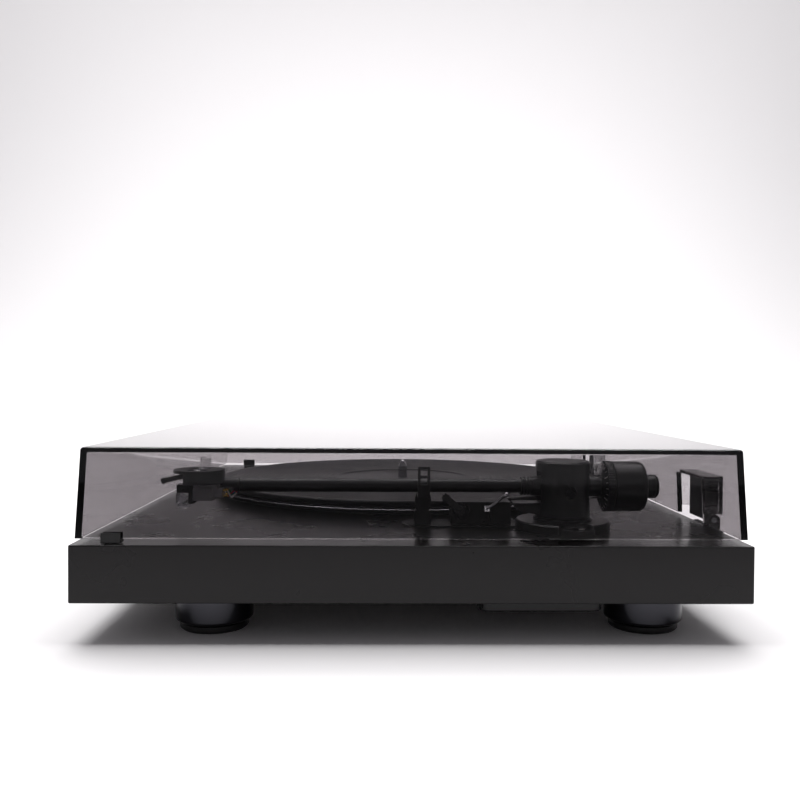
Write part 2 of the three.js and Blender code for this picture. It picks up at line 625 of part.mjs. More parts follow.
function addCartridge() {
  const c = cartridge;
  const bodyBottom = tubeZ + shell.top - shell.bodyHeight;
  const half = c.width / 2;
  const z1 = tubeZ + c.top;
  const flangeTop = bodyBottom - seat;
  let body = box(arm.x - half, armY(c.front), tubeZ + c.bottom, arm.x + half, armY(c.rear), z1);
  body = body.add(box(arm.x - half + 1, armY(c.front), z1 - 2, arm.x + half - 1, armY(c.mountRear), flangeTop));
  const w2 = c.terminalWidth / 2;
  const terminals = box(arm.x - w2, armY(c.rear) - 1, tubeZ - 7, arm.x + w2, armY(c.rear) + c.terminals, z1 - 0.4);
  add("cartridge", body.add(terminals), greyPlastic);
  const s = stylus;
  const w = s.width / 2;
  const rear = armY(c.front) - seat;
  const split = rear - s.holder;
  const holder = box(arm.x - w, split, tubeZ + s.holderBottom, arm.x + w, rear, tubeZ + s.top)
    .add(box(arm.x - w, armY(s.front), tubeZ + s.bottom, arm.x + w, split + 0.1, tubeZ + s.top));
  const cantilever = along(new THREE.LineCurve3(
    new THREE.Vector3(arm.x, split + 1, tubeZ + s.holderBottom + 2.6),
    new THREE.Vector3(arm.x, split - 4.4, tubeZ + s.holderBottom - 0.6)), 0.6, 1, 3);
  add("stylus", holder.add(cantilever), blackPlastic);
  const g = guard;
  const gh = g.width / 2;
  const top = tubeZ + s.bottom - seat;
  const cupShape = new THREE.Shape();
  const y0 = armY(g.front);
  const y1 = split - seat;
  const zb = tubeZ + g.bottom;
  cupShape.moveTo(y1, top - 4);
  cupShape.lineTo(y0 + 0.4, top);
  cupShape.lineTo(y0, zb + 4);
  cupShape.quadraticCurveTo(y0 + 1, zb, y0 + 4, zb);
  cupShape.lineTo(y1, zb + 0.6);
  const inner = box(arm.x - gh + g.wall, y0 + g.wall, zb + g.wall, arm.x + gh - g.wall, y1 + 1, top + 1);
  add("stylus_guard", slab(cupShape, arm.x - gh, arm.x + gh).subtract(inner), clearPlastic);
  const start = armY(c.rear) + c.terminals + seat;
  const end = armY(lead.rear);
  const plugTop = tubeZ - arm.tubeRadius - seat;
  const plugZ = plugTop - lead.plugHeight / 2;
  const leads = [-1.5, -0.5, 0.5, 1.5].map((i, place) => {
    const x = arm.x + i * lead.spacing;
    const pinZ = tubeZ + lead.top - (place % 2) * lead.row;
    return along(new THREE.CatmullRomCurve3([
      new THREE.Vector3(x, start, pinZ), new THREE.Vector3(x, start + lead.straight, pinZ),
      new THREE.Vector3(x, (start + end) / 2, plugZ - lead.sag),
      new THREE.Vector3(arm.x + i * lead.plugPitch, end, plugZ),
    ]), lead.radius, 6, 3);
  });
  const plugHalf = lead.plugWidth / 2;
  const plug = box(arm.x - plugHalf, end - lead.plugLength / 2, plugTop - lead.plugHeight,
    arm.x + plugHalf, end + lead.plugLength / 2, plugTop);
  add("cartridge_leads", leads.reduce((all, one) => all.add(one), plug), leadInsulation);
}

function addCounterweight() {
  const bore = stub.radius + run;
  const d0 = armY(-dial.front);
  const d1 = d0 + dial.length;
  add("force_dial", turnedAlongY([
    [bore, d0], [dial.coneRadius, d0], [dial.radius, d0 + dial.cone], [dial.radius, d1], [bore, d1], [bore, d0],
  ], arm.x, tubeZ), blackPlastic);
  const w0 = d1 + seat;
  const w1 = w0 + weight.length;
  const boreEnd = armY(-stub.length) + weight.travel + run;
  const end = w1 + weight.bossLength;
  add("counterweight", turnedAlongY([
    [bore, w0], [weight.radius, w0], [weight.radius, w1 - weight.rim],
    [weight.radius - weight.chamfer, w1 - weight.chamfer], [weight.radius - weight.rim, w1], [weight.boss, w1],
    [weight.boss, end - weight.bossChamfer], [weight.boss - weight.bossChamfer, end],
    [0, end], [0, boreEnd], [bore, boreEnd], [bore, w0],
  ], arm.x, tubeZ), blackAnodised);
}

function addArmRest() {
  const r = rest;
  const bx0 = r.baseX - r.baseDepth / 2;
  const bx1 = r.baseX + r.baseDepth / 2 - run;
  const z0 = plateTop + seat;
  const z1 = z0 + r.baseHeight;
  const saddle = tubeZ - arm.tubeRadius - r.gap;
  const near = arm.x + arm.tubeRadius + r.gap;
  const top = plinthTop + r.top;
  const half = r.prongWidth / 2;
  const post = new THREE.Shape();
  post.moveTo(r.y - r.neck, z1 - 1);
  post.lineTo(r.y + r.neck, z1 - 1);
  post.quadraticCurveTo(r.y + r.bulge, (z1 + saddle) / 2, r.y + half, saddle);
  post.lineTo(r.y - half, saddle);
  post.quadraticCurveTo(r.y - r.bulge, (z1 + saddle) / 2, r.y - r.neck, z1 - 1);
  let body = box(bx0, r.y - r.width / 2, z0, bx1, r.y + r.width / 2, z1).add(slab(post, bx1 - r.post, bx1));
  body = body.add(box(bx1 - r.post, r.y - half, saddle - r.saddle, near + r.prong, r.y + half, saddle));
  body = body.add(box(near, r.y - half, saddle - r.saddle, near + r.prong, r.y + half, top));
  const bar = tubeZ + arm.tubeRadius + r.frame + 1;
  for (const [a, b] of [[bar - r.frame - 4, bar - r.frame], [bar, top - r.frame]]) {
    body = body.subtract(box(near - 1, r.y - half + r.frame, a, near + r.prong + 1, r.y + half - r.frame, b));
  }
  add("arm_rest", body, blackPlastic);
}

function addCueing() {
  const c = cue;
  const x0 = c.x - c.depth / 2;
  const x1 = c.x + c.depth / 2;
  const z0 = plateTop + seat;
  const z1 = plinthTop + c.height + seat + 0.8;
  const barZ = tubeZ - arm.tubeRadius - 0.4 - c.bar / 2;
  const guideY = 46;
  let body = box(x0, c.front, z0, x1, c.rear, z1);
  body = body.subtract(box(x1 - 7, guideY - 1.6 - run, z0 + 1, x1 + 1, guideY + 1.6 + run, z1 - 1.6));
  const leverZ = z0 + c.leverUp;
  body = body.subtract(rodAlongX(x1 - c.camLength - run, x1 + 1, c.leverY, leverZ, c.cam + c.camThrow + run));
  const corner = box(x0 - 1, c.front - 1, z1 - 3, x1 + 1, c.front + 0.01, z1 + 1);
  add("cue_lift_body", body.subtract(corner), blackPlastic);

  const tilt = THREE.MathUtils.degToRad(c.leverTilt);
  const lx0 = x1 + run;
  const lx1 = lx0 + c.leverThickness;
  const w = c.leverWidth / 2;
  const arc = new THREE.Shape();
  arc.absarc(0, 0, w, -Math.PI / 2, Math.PI / 2);
  arc.lineTo(-c.leverLength, w);
  arc.lineTo(-c.leverLength, -w);
  const lever = slab(arc, 0, c.leverThickness).rotate([-c.leverTilt, 0, 0])
    .translate([lx0, c.leverY, leverZ]);
  const grip = box(lx0, -0.5, -1, lx1 + 0.8, 3.6, 3)
    .translate([0, c.leverY - c.leverLength * Math.cos(tilt), leverZ + c.leverLength * Math.sin(tilt) - 2.6]);
  add("cue_lever", lever.add(grip), blackPlastic);
  const camY = c.leverY + c.camThrow * Math.cos(tilt);
  const camZ = leverZ - c.camThrow * Math.sin(tilt);
  add("cue_cam", rodAlongX(lx0 - seat - c.camLength, lx0 - seat, camY, camZ, c.cam), steel);

  const sweep = THREE.MathUtils.degToRad(c.barSweep);
  const points = [];
  for (let i = 0; i <= 8; i++) {
    const a = sweep * (i / 8) - 0.06;
    points.push(new THREE.Vector3(arm.x - c.barRadius * Math.sin(a), arm.y - c.barRadius * Math.cos(a), barZ));
  }
  const bar = along(new THREE.CatmullRomCurve3(points), c.bar / 2, 10, 4);
  const tipX = arm.x + c.barRadius * Math.sin(0.06);
  const tipY = arm.y - c.barRadius * Math.cos(0.06);
  const stem = new THREE.CatmullRomCurve3([
    new THREE.Vector3(tipX, tipY, barZ), new THREE.Vector3(x1 + 3, tipY - 3, barZ - 2),
    new THREE.Vector3(x1 + 2, guideY + 3, barZ - 7), new THREE.Vector3(x1 + 1.4, guideY, barZ - 8.6),
  ]);
  const slider = box(x1 - 5, guideY - 1.6, barZ - 10.4, x1 + 2.2, guideY + 1.6, barZ - 7);
  add("cue_lifter", bar.add(along(stem, c.bar / 2, 6, 4)).add(slider), chrome);
}

// ---------------------------------------------------------------- dust cover and hinges

// A block between two rectangles about the middle, each given by its half sizes and its height.
function frustum([x0, y0, z0], [x1, y1, z1]) {
  const positions = [
    -x0, -y0, z0, x0, -y0, z0, x0, y0, z0, -x0, y0, z0,
    -x1, -y1, z1, x1, -y1, z1, x1, y1, z1, -x1, y1, z1,
  ];
  const geometry = new THREE.BufferGeometry();
  geometry.setAttribute("position", new THREE.BufferAttribute(new Float32Array(positions), 3));
  geometry.setIndex([
    0, 2, 1, 0, 3, 2, 4, 5, 6, 4, 6, 7, 0, 1, 5, 0, 5, 4, 1, 2, 6, 1, 6, 5, 2, 3, 7, 2, 7, 6, 3, 0, 4, 3, 4, 7,
  ]);
  return solid(geometry);
}

// The half sizes of the cover's outside at a height, taken in by an inset.
function coverOutline(inset, z) {
  const taken = inset + cover.draft * (z - coverBottom) / cover.height;
  return [coverHalfX - taken, coverHalfY - taken, z];
}

function coverBlock(inset, z0, z1) {
  return frustum(coverOutline(inset, z0), coverOutline(inset, z1));
}

function dustCover() {
  const h = hinge;
  const shoulder = coverTop - cover.edge;
  const [lidX, lidY] = coverOutline(cover.edge, shoulder);
  let body = coverBlock(0, coverBottom, shoulder);
  body = body.add(frustum(coverOutline(0, shoulder), [lidX, lidY, coverTop]));
  body = body.subtract(coverBlock(cover.wall, coverBottom - 1, coverTop - cover.wall));
  const back = coverHalfY + h.pocketDepth;
  const inside = coverHalfY - cover.wall - cover.draft - 1;
  const rearSkin = coverHalfY - cover.draft - 0.6;
  const notchTop = coverBottom + h.notchHeight;
  for (const side of [-1, 1]) {
    const near = side * (h.offset + h.notchWidth / 2);
    const far = side * (h.offset - h.notchWidth / 2);
    const pocketEnd = near - side * h.pocketWidth;
    const outside = near + side * h.pocketWall;
    const outsideEnd = pocketEnd - side * h.pocketWall;
    const span = (a, b, y0, y1, z0, z1) => box(Math.min(a, b), y0, z0, Math.max(a, b), y1, z1);
    body = body.add(span(outside, outsideEnd, rearSkin, back, pocketFloor, notchTop + h.pocketWall));
    body = body.subtract(span(near, pocketEnd, inside, back - h.pocketWall, pocketFloor - 1, notchTop));
    body = body.subtract(span(near, far, inside, rearSkin, coverBottom - 1, notchTop));
    body = body.subtract(span(near, far, inside, coverHalfY + 1, coverBottom - 1, pocketFloor));
    body = body.subtract(span(outsideEnd, far, inside, coverHalfY + 1, coverBottom - 1, notchTop));
  }
  return body;
}

function addCover() {
  add("dust_cover", dustCover(), smokedAcrylic);
  addBumper(-1, "left", bumper.frontLeft);
  addBumper(1, "right", bumper.frontRight);
  addHinge(-1, "left");
  addHinge(1, "right");
}

// A soft block under the cover's side wall, with a slot that grips the wall's edge.
function addBumper(side, name, front) {
  const b = bumper;
  const outer = side * (coverHalfX + b.overhang);
  const x0 = Math.min(outer, outer - side * b.width);
  const y0 = -plinth.depth / 2 + front;
  const z0 = plinthTop + seat;
  const slot = coverBlock(-seat, coverBottom - seat, z0 + b.height + 1)
    .subtract(coverBlock(cover.wall + seat, coverBottom - 1, z0 + b.height + 2));
  const block = box(x0, y0, z0, x0 + b.width, y0 + b.length, z0 + b.height);
  add("cover_bumper_" + name, block.subtract(slot), rubber);
}

function addHinge(side, name) {
  const h = hinge;
  const near = h.offset + h.notchWidth / 2;
  const y = hingeAxisY;
  const z = hingeAxisZ;
  const leafY1 = coverHalfY + h.pocketDepth - h.pocketWall - seat;
  const leafY0 = leafY1 - h.leafThickness;
  const leafX1 = near - seat;
  const leafX0 = leafX1 - h.leafWidth;
  const leafLow = coverBottom + h.leafUp;
  const earEnd = near - h.earGap;
  const ears = [[earEnd - h.earSpan, earEnd - h.earSpan + h.earWidth], [earEnd - h.earWidth, earEnd]];
  const barrel = [ears[0][1] + h.earGap, ears[1][0] - h.earGap];
  const mirrored = (body) => (side > 0 ? body : body.mirror([1, 0, 0]));
  const pinHole = rodAlongX(ears[0][0] - h.earGap, near + 1, y, z, h.pin + seat);

  let leaf = box(leafX0, leafY0, leafLow, leafX1, leafY1, coverBottom + h.notchHeight - seat);
  const face = plinth.depth / 2 + seat;
  let bracket = box(earEnd - h.bracketWidth, face, plinthTop - h.bracketHeight, earEnd,
    face + h.bracketThickness, plinthTop);
  for (const [a, b] of ears) {
    leaf = leaf.subtract(box(a - h.earGap, leafY0 - 1, leafLow - 1,
      b + h.earGap + seat, leafY1 + 1, pocketFloor));
    bracket = bracket.add(rodAlongX(a, b, y, z, h.barrel));
    bracket = bracket.add(box(a, face, plinthTop - h.earDrop, b, y + h.barrel, z));
  }
  leaf = leaf.add(rodAlongX(barrel[0], barrel[1], y, z, h.barrel));
  add("hinge_leaf_" + name, mirrored(leaf.subtract(pinHole)), blackPlastic);
  add("hinge_bracket_" + name, mirrored(bracket.subtract(pinHole)), blackPlastic);
  add("hinge_pin_" + name, mirrored(rodAlongX(ears[0][0], earEnd + h.earGap / 2, y, z, h.pin)), steel);
}

// ---------------------------------------------------------------- assembly

add("plinth", plinthBody(), blackVinyl);
addFeet();
addElectronics();
addPowerRocker();
addPlatter();
addDrive();
addArmBase();
addArmHousing();
addArmTube();
addHeadshell();
addCartridge();
addCounterweight();
addArmRest();
addCueing();
addCover();

export default object;
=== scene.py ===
import json
import math

import bmesh
import bpy
from mathutils import Matrix, Vector

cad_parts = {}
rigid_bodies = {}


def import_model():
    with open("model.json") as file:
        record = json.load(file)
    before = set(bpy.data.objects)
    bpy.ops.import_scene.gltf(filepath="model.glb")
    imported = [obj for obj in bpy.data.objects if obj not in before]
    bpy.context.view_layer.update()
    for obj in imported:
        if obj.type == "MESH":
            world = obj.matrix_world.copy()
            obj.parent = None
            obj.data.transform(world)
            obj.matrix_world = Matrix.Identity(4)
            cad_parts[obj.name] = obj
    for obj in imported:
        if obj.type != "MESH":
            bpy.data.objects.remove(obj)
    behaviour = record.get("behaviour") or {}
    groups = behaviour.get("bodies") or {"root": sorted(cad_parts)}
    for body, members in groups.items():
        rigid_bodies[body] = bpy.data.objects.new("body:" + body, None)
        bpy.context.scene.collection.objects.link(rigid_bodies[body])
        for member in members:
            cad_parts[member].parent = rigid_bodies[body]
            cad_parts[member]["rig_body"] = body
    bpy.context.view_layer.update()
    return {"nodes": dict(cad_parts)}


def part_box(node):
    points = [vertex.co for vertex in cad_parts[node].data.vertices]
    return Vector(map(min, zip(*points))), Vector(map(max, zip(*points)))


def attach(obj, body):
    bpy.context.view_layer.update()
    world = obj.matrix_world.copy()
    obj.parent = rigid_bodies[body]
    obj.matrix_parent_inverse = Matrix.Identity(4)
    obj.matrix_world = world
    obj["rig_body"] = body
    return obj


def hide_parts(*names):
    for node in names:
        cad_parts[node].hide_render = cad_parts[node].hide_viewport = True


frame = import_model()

nodes = frame["nodes"]
MM = 0.001
WELD = 1e-6
GAP = 0.3 * MM


# ------------------------------------------------------------------ places taken from the frame

class Place:
    """The box of a CAD node: its corners, middle and size, in metres."""

    def __init__(self, node):
        low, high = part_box(node)
        self.low = Vector(low)
        self.high = Vector(high)
        self.mid = (self.low + self.high) / 2
        self.size = self.high - self.low


plinth = Place("plinth")
platter = Place("platter")
tube = Place("arm_tube")
BORE = 3.85 * MM
arm_x = tube.mid.x
arm_z = tube.mid.z


# ------------------------------------------------------------------ materials

def colour(code):
    """An sRGB hex code as linear red, green, blue and alpha."""
    parts = [int(code[i:i + 2], 16) / 255 for i in (0, 2, 4)]
    linear = [c / 12.92 if c <= 0.04045 else ((c + 0.055) / 1.055) ** 2.4 for c in parts]
    return (*linear, 1.0)


def add_node(material, kind, links=(), values=(), **settings):
    """Adds one node: settings are its own, values go to its sockets, links come from other sockets."""
    tree = material.node_tree
    node = tree.nodes.new(kind)
    for key, value in settings.items():
        setattr(node, key, value)
    for socket, value in dict(values).items():
        node.inputs[socket].default_value = value
    for socket, source in dict(links).items():
        tree.links.new(source, node.inputs[socket])
    return node


def finish(name, code, **sockets):
    """A material with one Principled shader, and that shader. Sockets are named with _ for a space."""
    material = bpy.data.materials.new(name)
    material.use_nodes = True
    shader = material.node_tree.nodes["Principled BSDF"]
    shader.inputs["Base Color"].default_value = colour(code)
    for key, value in sockets.items():
        shader.inputs[key.replace("_", " ")].default_value = value
    return material, shader


def grain(material, shader, size, depth, rough, shade=None, stretch=(1, 1, 1)):
    """Fine relief of a grain size and depth in metres, with roughness from rough[0] to rough[1].
    shade is two hex codes that a broad, slow pattern mixes for the base colour."""
    links = material.node_tree.links
    place = add_node(material, "ShaderNodeTexCoord").outputs["Object"]
    turned = add_node(material, "ShaderNodeMapping", {"Vector": place}, {"Scale": stretch}).outputs["Vector"]
    fine = add_node(material, "ShaderNodeTexNoise", {"Vector": turned},
                    {"Scale": 1 / size, "Detail": 3.0, "Roughness": 0.6})
    broad = add_node(material, "ShaderNodeTexNoise", {"Vector": place},
                     {"Scale": 14.0, "Detail": 4.0, "Roughness": 0.55})
    relief = add_node(material, "ShaderNodeBump", {"Height": fine.outputs["Fac"]},
                      {"Distance": depth, "Strength": 0.6})
    links.new(relief.outputs["Normal"], shader.inputs["Normal"])
    spread = add_node(material, "ShaderNodeMapRange", {"Value": broad.outputs["Fac"]},
                      {"From Min": 0.3, "From Max": 0.7, "To Min": rough[0], "To Max": rough[1]})
    links.new(spread.outputs["Result"], shader.inputs["Roughness"])
    if shade:
        mix = add_node(material, "ShaderNodeMix", {"Factor": broad.outputs["Fac"]}, data_type="RGBA")
        mix.inputs["A"].default_value = colour(shade[0])
        mix.inputs["B"].default_value = colour(shade[1])
        links.new(mix.outputs["Result"], shader.inputs["Base Color"])


def film_wrapped_fibreboard():
    """Black film pressed on board: a fine satin pebble that spreads highlights into a soft sheen."""
    material, shader = finish("film_wrapped_fibreboard", "161415", IOR=1.45, Specular_IOR_Level=0.3)
    grain(material, shader, 0.5 * MM, 0.003 * MM, (0.26, 0.29), ("131112", "171516"))
    return material


def smoked_cast_acrylic():
    """Smoked acrylic sheet, flame polished: clear, slightly violet, and nearly black along its edges."""
    material = finish("smoked_cast_acrylic", "ffffff", Roughness=0.0, IOR=1.49, Transmission_Weight=1.0)[0]
    tint = add_node(material, "ShaderNodeVolumeAbsorption",
                    values={"Color": colour("8f858b"), "Density": 285.0})
    out = material.node_tree.nodes["Material Output"]
    material.node_tree.links.new(tint.outputs["Volume"], out.inputs["Volume"])
    return material


def moulded_abs_black():
    """Black ABS moulded in an etched tool: an even satin with a very fine texture."""
    material, shader = finish("moulded_abs_black", "0e0e10", IOR=1.5, Specular_IOR_Level=0.4)
    grain(material, shader, 0.25 * MM, 0.003 * MM, (0.38, 0.48), ("0c0c0e", "121214"))
    return material


def glossy_abs_black():
    """Black ABS moulded in a polished tool: dark and smooth, with soft clear highlights."""
    material, shader = finish("glossy_abs_black", "0b0b0d", IOR=1.5)
    grain(material, shader, 0.8 * MM, 0.0003 * MM, (0.2, 0.28))
    return material


def black_anodised_aluminium():
    """Drawn aluminium, bead blasted and anodised black: a cool dark metal with a long soft highlight."""
    material, shader = finish("black_anodised_aluminium", "0c0d0f", IOR=1.5, Specular_IOR_Level=0.4)
    grain(material, shader, 0.4 * MM, 0.0003 * MM, (0.3, 0.36), ("0b0c0e", "0e0f12"))
    return material


def turned_aluminium(name, code, rough):
    """Aluminium turned on a lathe: rings too fine to see that stretch the highlight along the rim."""
    material, shader = finish(name, code, Metallic=1.0)
    grain(material, shader, 0.8 * MM, 0.0015 * MM, rough, stretch=(1, 1, 12))
    return material


def silver_coated_aluminium():
    """Feet: spun and plated aluminium, a soft mirror that carries the dark underside and the pale floor."""
    material, shader = finish("silver_coated_aluminium", "3a3a3e", Metallic=1.0)
    grain(material, shader, 0.5 * MM, 0.0005 * MM, (0.1, 0.16), stretch=(1, 1, 4))
    return material


def ribbed_rubber():
    """Rubber, vulcanised: nearly black, dull, with a slight bloom."""
    material, shader = finish("vulcanised_rubber", "111112", IOR=1.5, Specular_IOR_Level=0.35)
    grain(material, shader, 0.35 * MM, 0.003 * MM, (0.36, 0.46), ("0f0f10", "161617"))
    return material


def chromed_steel():
    """Polished and chromed steel: a clean mirror with faint polishing haze."""
    material, shader = finish("chromed_steel", "dcdcdf", Metallic=1.0)
    grain(material, shader, 0.4 * MM, 0.001 * MM, (0.05, 0.1))
    return material


def zinc_plated_steel():
    """Zinc plated screws and nuts: grey metal, semi-bright and a little uneven."""
    material, shader = finish("zinc_plated_steel", "8e9094", Metallic=1.0)
    grain(material, shader, 0.3 * MM, 0.01 * MM, (0.26, 0.4))
    return material


def blackened_steel():
    """Steel, oil blackened: dark, with a small sharp glint."""
    material, shader = finish("blackened_steel", "1b1b1d", Metallic=0.6)
    grain(material, shader, 0.4 * MM, 0.0005 * MM, (0.22, 0.3))
    return material


def gold_plated_brass():
    """Turned brass with a flash of gold: warm, bright and smooth."""
    material, shader = finish("gold_plated_brass", "d8b25c", Metallic=1.0)
    grain(material, shader, 0.4 * MM, 0.003 * MM, (0.14, 0.22))
    return material


def moulded_grey_nylon():
    """Grey glass-filled nylon: dull with a fine speckle."""
    material, shader = finish("moulded_grey_nylon", "a09fa3", IOR=1.53)
    grain(material, shader, 0.3 * MM, 0.002 * MM, (0.42, 0.55), ("9a989c", "a7a6aa"))
    return material


def clear_polycarbonate():
    """Injection moulded polycarbonate: clear, with bright rounded rims."""
    return finish("clear_polycarbonate", "f4f5f8", Roughness=0.04, IOR=1.58, Transmission_Weight=0.92)[0]


def glass_fibre_laminate():
    """Circuit laminate under green solder resist: glossy, with the weave just showing."""
    material, shader = finish("glass_fibre_laminate", "1d5c38", IOR=1.5)
    grain(material, shader, 0.9 * MM, 0.01 * MM, (0.25, 0.35), ("1a5534", "21643d"))
    return material


def lead_insulation(name, code):
    """Extruded vinyl insulation on a fine lead: saturated colour with a waxy sheen."""
    material, shader = finish(name, code, IOR=1.53, Subsurface_Weight=0.0)
    grain(material, shader, 0.3 * MM, 0.01 * MM, (0.35, 0.45))
    return material


board_film = film_wrapped_fibreboard()
acrylic = smoked_cast_acrylic()
abs_satin = moulded_abs_black()
abs_gloss = glossy_abs_black()
anodised = black_anodised_aluminium()
platter_metal = turned_aluminium("turned_black_aluminium", "18191c", (0.3, 0.38))
bead_metal = turned_aluminium("diamond_cut_aluminium", "c9c9cd", (0.12, 0.18))
silver = silver_coated_aluminium()
rubber = ribbed_rubber()
chrome = chromed_steel()
zinc = zinc_plated_steel()
dark_steel = blackened_steel()
gold = gold_plated_brass()
nylon = moulded_grey_nylon()
clear = clear_polycarbonate()
laminate = glass_fibre_laminate()
red_pvc = lead_insulation("red_vinyl_insulation", "b01f38")
white_pvc = lead_insulation("white_vinyl_insulation", "ece9e6")
green_pvc = lead_insulation("green_vinyl_insulation", "1f7a4a")
blue_pvc = lead_insulation("blue_vinyl_insulation", "24479c")


# ------------------------------------------------------------------ mesh helpers

def weighted_corners(bm, alike):
    """Corner normals weighted by face area: large faces stay flat and their rounded edges blend into them.
    Faces count as one surface where the cosine between their normals is above alike."""
    areas = {face: face.calc_area() for face in bm.faces}
    corners = []
    for face in bm.faces:
        for vert in face.verts:
            total = Vector()
            for other in vert.link_faces:
                if other.normal.dot(face.normal) > alike:
                    total += other.normal * areas[other]
            corners.append(total.normalized() if total.length > 0 else face.normal)
    return corners


def piece(name, bm, material, body, stands_for=(), smooth=35):
    """Turns a bmesh into a finished object that rides on a body and stands for CAD nodes.
    Edges that turn by more than smooth degrees stay crisp."""
    bmesh.ops.remove_doubles(bm, verts=bm.verts, dist=WELD)
    bmesh.ops.recalc_face_normals(bm, faces=bm.faces)
    limit = math.radians(smooth)
    for face in bm.faces:
        face.smooth = True
    for edge in bm.edges:
        edge.smooth = edge.is_manifold and edge.calc_face_angle(0) < limit
    corners = weighted_corners(bm, math.cos(math.radians(50)))
    mesh = bpy.data.meshes.new(name)
    bm.to_mesh(mesh)
    bm.free()
    mesh.normals_split_custom_set(corners)
    mesh.materials.append(material)
    made = bpy.data.objects.new(name, mesh)
    bpy.context.scene.collection.objects.link(made)
    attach(made, body)
    if stands_for:
        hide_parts(*stands_for)
    return made


def spun(profile, axis, centre, steps=96, bm=None):
    """Spins a profile of (radius, place along the axis) points into a closed turned piece."""
    bm = bm or bmesh.new()
    across = Vector((1, 0, 0)) if axis != "X" else Vector((0, 1, 0))
    run = {"X": Vector((1, 0, 0)), "Y": Vector((0, 1, 0)), "Z": Vector((0, 0, 1))}[axis]
    verts = [bm.verts.new(Vector(centre) + across * r + run * a) for r, a in profile]
    edges = [bm.edges.new((a, b)) for a, b in zip(verts, verts[1:])]
    if profile[0] != profile[-1] and profile[0][0] > 1e-9:
        edges.append(bm.edges.new((verts[-1], verts[0])))
    bmesh.ops.spin(bm, geom=verts + edges, cent=centre, axis=run, angle=2 * math.pi, steps=steps,
                   use_merge=True)
    bmesh.ops.remove_doubles(bm, verts=bm.verts, dist=WELD)
    return bm


def rounded(profile, radius, steps=4):
    """The profile with its inner corners rounded to a radius, as short arcs."""
    out = [profile[0]]
    for before, here, after in zip(profile, profile[1:], profile[2:]):
        p, a, b = Vector(here), Vector(before) - Vector(here), Vector(after) - Vector(here)
        cut = min(radius, a.length * 0.45, b.length * 0.45)
        if cut < 1e-7 or abs(a.normalized().dot(b.normalized())) > 0.999:
            out.append(here)
            continue
        start, end = p + a.normalized() * cut, p + b.normalized() * cut
        for i in range(steps + 1):
            t = i / steps
            point = start * (1 - t) ** 2 + p * 2 * t * (1 - t) + end * t ** 2
            out.append((point.x, point.y))
    out.append(profile[-1])
    return out


def block(low, high, bevel=0.0, segments=3):
    """A box between two corners with rounded edges."""
    bm = bmesh.new()
    low, high = Vector(low), Vector(high)
    made = bmesh.ops.create_cube(bm, size=1.0)["verts"]
    bmesh.ops.scale(bm, vec=high - low, verts=made)
    bmesh.ops.translate(bm, vec=(low + high) / 2, verts=made)
    if bevel:
        edges = list({e for v in made for e in v.link_edges})
        bmesh.ops.bevel(bm, geom=edges, offset=bevel, offset_type="OFFSET", affect="EDGES", segments=segments,
                        profile=0.5, material=-1)
    return bm


def pipe(points, radii, sides=16):
    """A round bar through points, with a radius at each: rings joined by bridges and closed at the ends."""
    bm = bmesh.new()
    points = [Vector(p) for p in points]
    rings = []
    for i, point in enumerate(points):
        ahead = points[min(i + 1, len(points) - 1)] - points[max(i - 1, 0)]
        turn = ahead.normalized().to_track_quat("Z", "X").to_matrix().to_4x4()
        made = bmesh.ops.create_circle(bm, cap_ends=False, radius=radii[i], segments=sides,
                                       matrix=Matrix.Translation(point) @ turn)["verts"]
        rings.append(list({e for v in made for e in v.link_edges}))
    for first, second in zip(rings, rings[1:]):
        bmesh.ops.bridge_loops(bm, edges=first + second)
    for ring in (rings[0], rings[-1]):
        bmesh.ops.contextual_create(bm, geom=ring)
    return bm


def curve_points(points, steps):
    """Points along a smooth curve through the given ones."""
    points = [Vector(p) for p in points]
    ends = [points[0] * 2 - points[1], *points, points[-1] * 2 - points[-2]]
    out = []
    for p0, p1, p2, p3 in zip(ends, ends[1:], ends[2:], ends[3:]):
        for i in range(steps):
            t = i / steps
            out.append(0.5 * (2 * p1 + (p2 - p0) * t + (2 * p0 - 5 * p1 + 4 * p2 - p3) * t ** 2
                              + (3 * p1 - p0 - 3 * p2 + p3) * t ** 3))
    return [*out, points[-1]]


def refined(node, material, bevel, segments=2, smooth=35, shortest=0.0):
    """A merged copy of a CAD node that stands for it, with its sharp edges rounded over.
    Edges below the shortest length stay sharp."""
    bm = bmesh.new()
    bm.from_mesh(nodes[node].data)
    bmesh.ops.remove_doubles(bm, verts=bm.verts, dist=WELD)
    bmesh.ops.dissolve_limit(bm, angle_limit=math.radians(0.5), verts=bm.verts, edges=bm.edges)
    if bevel:
        sharp = math.radians(30)
        edges = [e for e in bm.edges
                 if e.is_manifold and e.calc_face_angle(0) > sharp and e.calc_length() >= shortest]
        bmesh.ops.bevel(bm, geom=edges, offset=bevel, offset_type="OFFSET", affect="EDGES", segments=segments,
                        profile=0.5, material=-1, clamp_overlap=True)
    return piece(node + "_shell", bm, material, nodes[node]["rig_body"], (node,), smooth)


def dressed(names, material):
    """CAD nodes whose shape is right get a material."""
    for name in names:
        mesh = nodes[name].data
        mesh.materials.clear()
        mesh.materials.append(material)


# ------------------------------------------------------------------ camera

